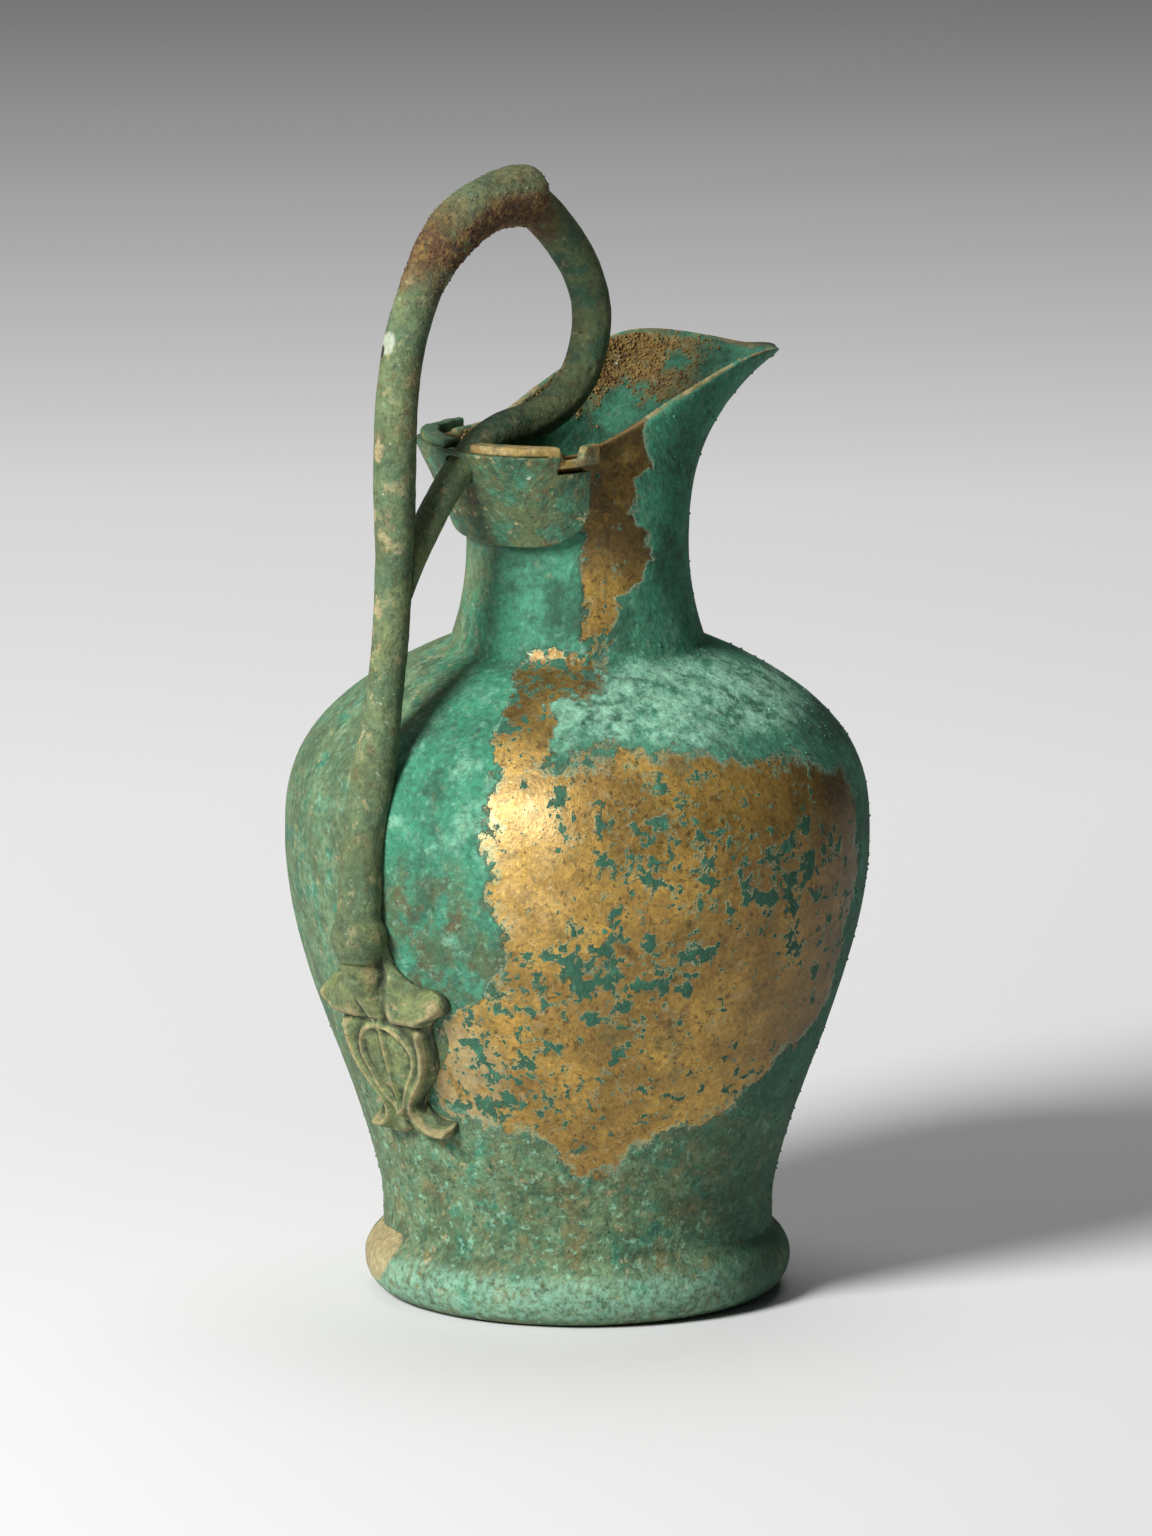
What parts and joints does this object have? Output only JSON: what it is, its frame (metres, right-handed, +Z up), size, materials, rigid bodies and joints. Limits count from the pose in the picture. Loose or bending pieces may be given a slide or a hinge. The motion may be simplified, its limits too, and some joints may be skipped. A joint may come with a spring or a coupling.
{
  "type": "oinochoe jug",
  "caption": "Bronze pouring jug with a full round belly, splayed ring foot, pinched beaked mouth and a high looped rod handle that ends in a leaf-shaped plaque.",
  "frame": {"origin": "middle of the foot's resting face", "axes": "+Z up along the vessel's axis, +X towards the beak of the mouth, the handle at -X"},
  "size_m": [0.1503, 0.14, 0.2753],
  "materials": {
    "body_bronze": "patinated bronze: bare golden-brown patches between emerald and pale green crusts",
    "foot_bronze": "patinated bronze: mottled green with tan flecks",
    "fittings_bronze": "patinated bronze: dull green with tan and pale flecks",
    "handle_bronze": "patinated bronze: sage green with rusty brown crust",
    "solder": "dull grey solder"
  },
  "bodies": {
    "root": {"vessel_body": "body_bronze", "base_disc": "body_bronze", "foot_ring": "foot_bronze", "collar_plate": "fittings_bronze", "rim_arm_left": "fittings_bronze", "rim_arm_right": "fittings_bronze", "leaf_plaque": "fittings_bronze", "handle_stem": "handle_bronze", "handle_loop": "handle_bronze", "foot_solder": "solder", "collar_solder": "solder", "leaf_solder": "solder"}
  },
  "joints": []
}
